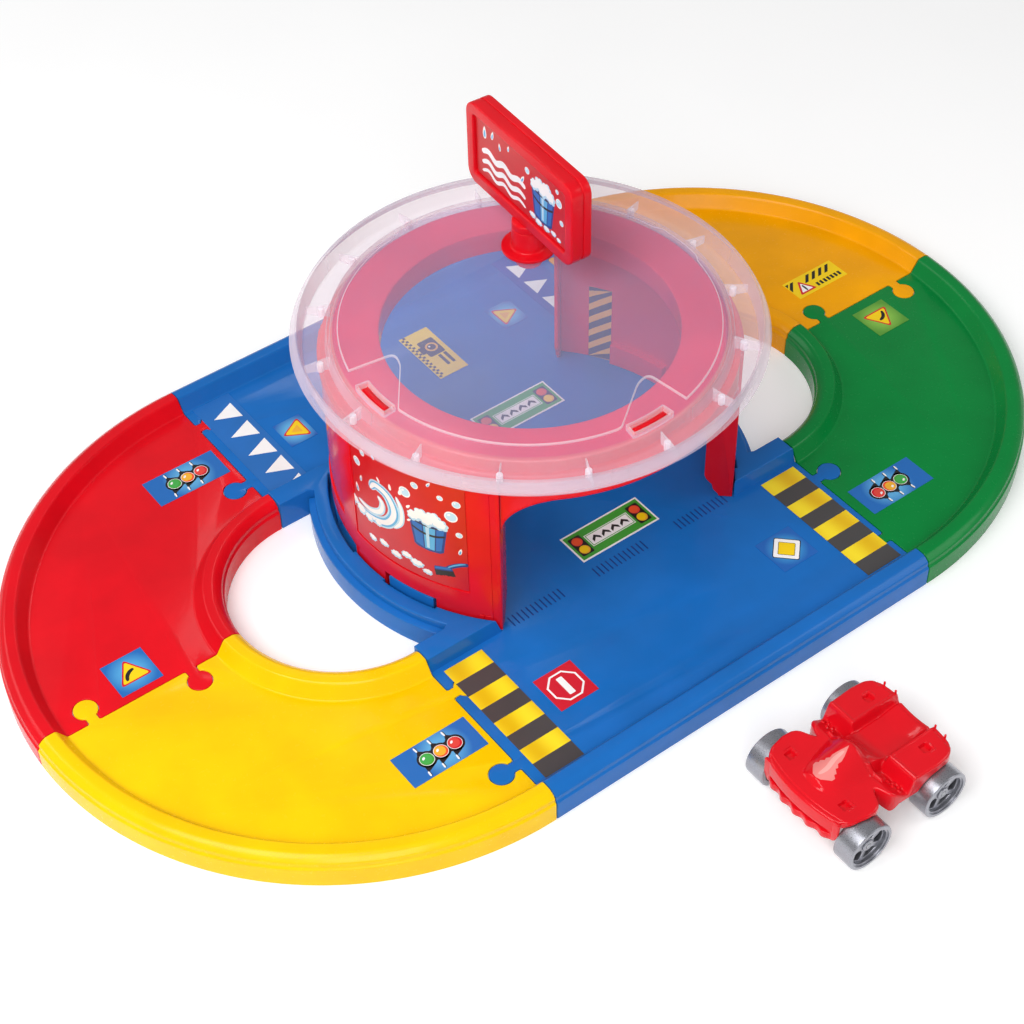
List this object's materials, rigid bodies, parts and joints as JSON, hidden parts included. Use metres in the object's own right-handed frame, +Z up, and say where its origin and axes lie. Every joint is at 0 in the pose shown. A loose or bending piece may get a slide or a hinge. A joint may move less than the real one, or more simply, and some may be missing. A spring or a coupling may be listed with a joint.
{
  "type": "toy car wash playset",
  "caption": "Oval toy road in clip-together quarter rings, round a car wash house with a clear lift-off roof and a turning sign, with a rolling toy quad.",
  "frame": {"origin": "on the ground under the middle of the wash house", "axes": "+X along the lanes to the orange and green end, +Y to the back lane, +Z up"},
  "size_m": [0.774, 0.6, 0.2511],
  "materials": {
    "red_plastic": "gloss",
    "yellow_plastic": "gloss",
    "orange_plastic": "gloss",
    "green_plastic": "gloss",
    "blue_plastic": "gloss",
    "clear_plastic": "gloss, milky clear",
    "silver_plastic": "silver grey",
    "print_red": "printed film",
    "print_blue": "printed film",
    "print_yellow": "printed film",
    "print_green": "printed film",
    "print_pale": "printed film"
  },
  "bodies": {
    "playset": {"base_plate": "blue_plastic", "track_back_left": "red_plastic", "track_front_left": "yellow_plastic", "track_front_right": "green_plastic", "track_back_right": "orange_plastic", "wash_wall_left": "red_plastic", "wash_wall_right": "red_plastic", "wash_arch_ring": "red_plastic", "wall_picture_left": "print_red", "wall_picture_right": "print_red", "stripe_label_right_wall": "print_yellow", "hazard_strip_front_left": "print_yellow", "hazard_strip_front_right": "print_yellow", "camera_label": "print_yellow", "triangle_strip_back_left": "print_blue", "triangle_strip_back_right": "print_blue", "octagon_label": "print_red", "diamond_label": "print_blue", "way_in_label": "print_green", "way_out_label": "print_green", "triangle_sign_back_left": "print_blue", "triangle_sign_back_right": "print_blue", "light_label_back_left": "print_blue", "light_label_front_left": "print_blue", "light_label_front_right": "print_blue", "bend_label_back_left": "print_blue", "bend_label_front_right": "print_green", "works_label_back_right": "print_yellow"},
    "roof": {"roof_tray": "clear_plastic", "sign_socket": "red_plastic"},
    "sign": {"sign_frame": "red_plastic", "sign_back_cover": "red_plastic", "sign_label_front": "print_red", "sign_label_back": "print_red"},
    "car": {"car_body": "red_plastic", "car_chassis": "red_plastic", "car_decal": "print_pale"},
    "front_axle": {"car_front_axle": "silver_plastic", "car_wheel_front_left": "silver_plastic", "car_wheel_front_right": "silver_plastic"},
    "rear_axle": {"car_rear_axle": "silver_plastic", "car_wheel_rear_left": "silver_plastic", "car_wheel_rear_right": "silver_plastic"}
  },
  "joints": [
    {"name": "roof_lift", "type": "slide", "parent": "playset", "child": "roof", "axis": [0, 0, 1], "range_m": [0, 0.06]},
    {"name": "sign_turn", "type": "hinge", "parent": "roof", "child": "sign", "pos_m": [0.043, 0.0575, 0.18], "axis": [0, 0, 1], "continuous": true},
    {"name": "car_roll", "type": "slide", "parent": "playset", "child": "car", "axis": [1, 0, 0], "range_m": [-0.12, 0.12]},
    {"name": "front_axle_spin", "type": "hinge", "parent": "car", "child": "front_axle", "pos_m": [-0.031, -0.3235, 0.017], "axis": [0, 1, 0], "continuous": true},
    {"name": "rear_axle_spin", "type": "hinge", "parent": "car", "child": "rear_axle", "pos_m": [0.031, -0.3235, 0.017], "axis": [0, 1, 0], "continuous": true}
  ]
}
